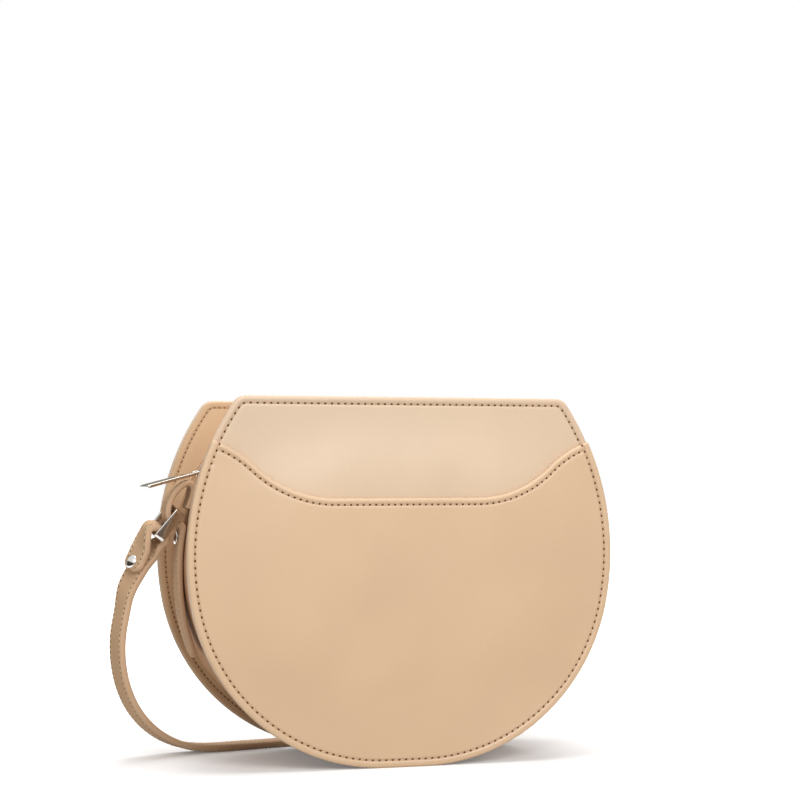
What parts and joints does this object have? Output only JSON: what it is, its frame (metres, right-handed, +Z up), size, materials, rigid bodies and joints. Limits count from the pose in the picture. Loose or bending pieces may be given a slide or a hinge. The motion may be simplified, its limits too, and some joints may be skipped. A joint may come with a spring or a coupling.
{
  "type": "half moon shoulder bag",
  "caption": "Half moon leather shoulder bag standing upright: front pocket, zipped top, recessed gusset, and a strap on metal rings that lies behind it.",
  "frame": {"origin": "the foot of the front panel, in the middle of its leather's thickness", "axes": "+Z up, the front faces -Y, the zip's closed end is at -X"},
  "size_m": [0.2577, 0.2016, 0.18],
  "materials": {
    "panel_leather": "smooth, satin",
    "pocket_leather": "smooth, satin",
    "gusset_leather": "smooth, satin",
    "strap_leather": "smooth, satin",
    "lining": "matt twill over board",
    "zip_tape": "woven",
    "nickel": "polished",
    "zip_metal": "bright"
  },
  "bodies": {
    "bag": {"front_panel": "panel_leather", "front_pocket": "pocket_leather", "back_panel": "panel_leather", "gusset": "gusset_leather", "gusset_lining": "lining", "front_lining": "lining", "back_lining": "lining", "zip_facing_front": "gusset_leather", "zip_facing_back": "gusset_leather", "zip_tape_front": "zip_tape", "zip_tape_back": "zip_tape", "zip_teeth_front": "zip_metal", "zip_teeth_back": "zip_metal", "zip_stop": "zip_metal", "anchor_tab_left": "strap_leather", "anchor_tab_right": "strap_leather", "anchor_rivet_left": "nickel", "anchor_rivet_right": "nickel", "strap_left": "strap_leather", "strap_right": "strap_leather"},
    "slider": {"zip_slider": "nickel"},
    "puller": {"zip_puller": "nickel"},
    "left_ring": {"ring_left": "nickel", "strap_end_left": "strap_leather", "strap_rivet_left": "nickel"},
    "right_ring": {"ring_right": "nickel", "strap_end_right": "strap_leather", "strap_rivet_right": "nickel"}
  },
  "joints": [
    {"name": "slider_travel", "type": "hinge", "parent": "bag", "child": "slider", "pos_m": [-0.01, 0.0388, 0.0975], "axis": [0, 1, 0], "range_deg": [0, 17], "deforming": ["zip_teeth_front", "zip_teeth_back"]},
    {"name": "puller_swing", "type": "hinge", "parent": "slider", "child": "puller", "pos_m": [-0.0921, 0.03939, 0.14372], "axis": [-0.3518, 0.9361, 0], "range_deg": [0, 95]},
    {"name": "ring_left_swing", "type": "hinge", "parent": "bag", "child": "left_ring", "pos_m": [-0.10549, 0.0388, 0.1248], "axis": [0, 0.9848, 0.1736], "range_deg": [-6, 50], "deforming": ["strap_left"]},
    {"name": "ring_right_swing", "type": "hinge", "parent": "bag", "child": "right_ring", "pos_m": [0.10549, 0.0388, 0.1248], "axis": [0, -1, 0], "range_deg": [0, 60], "deforming": ["strap_right"]}
  ]
}
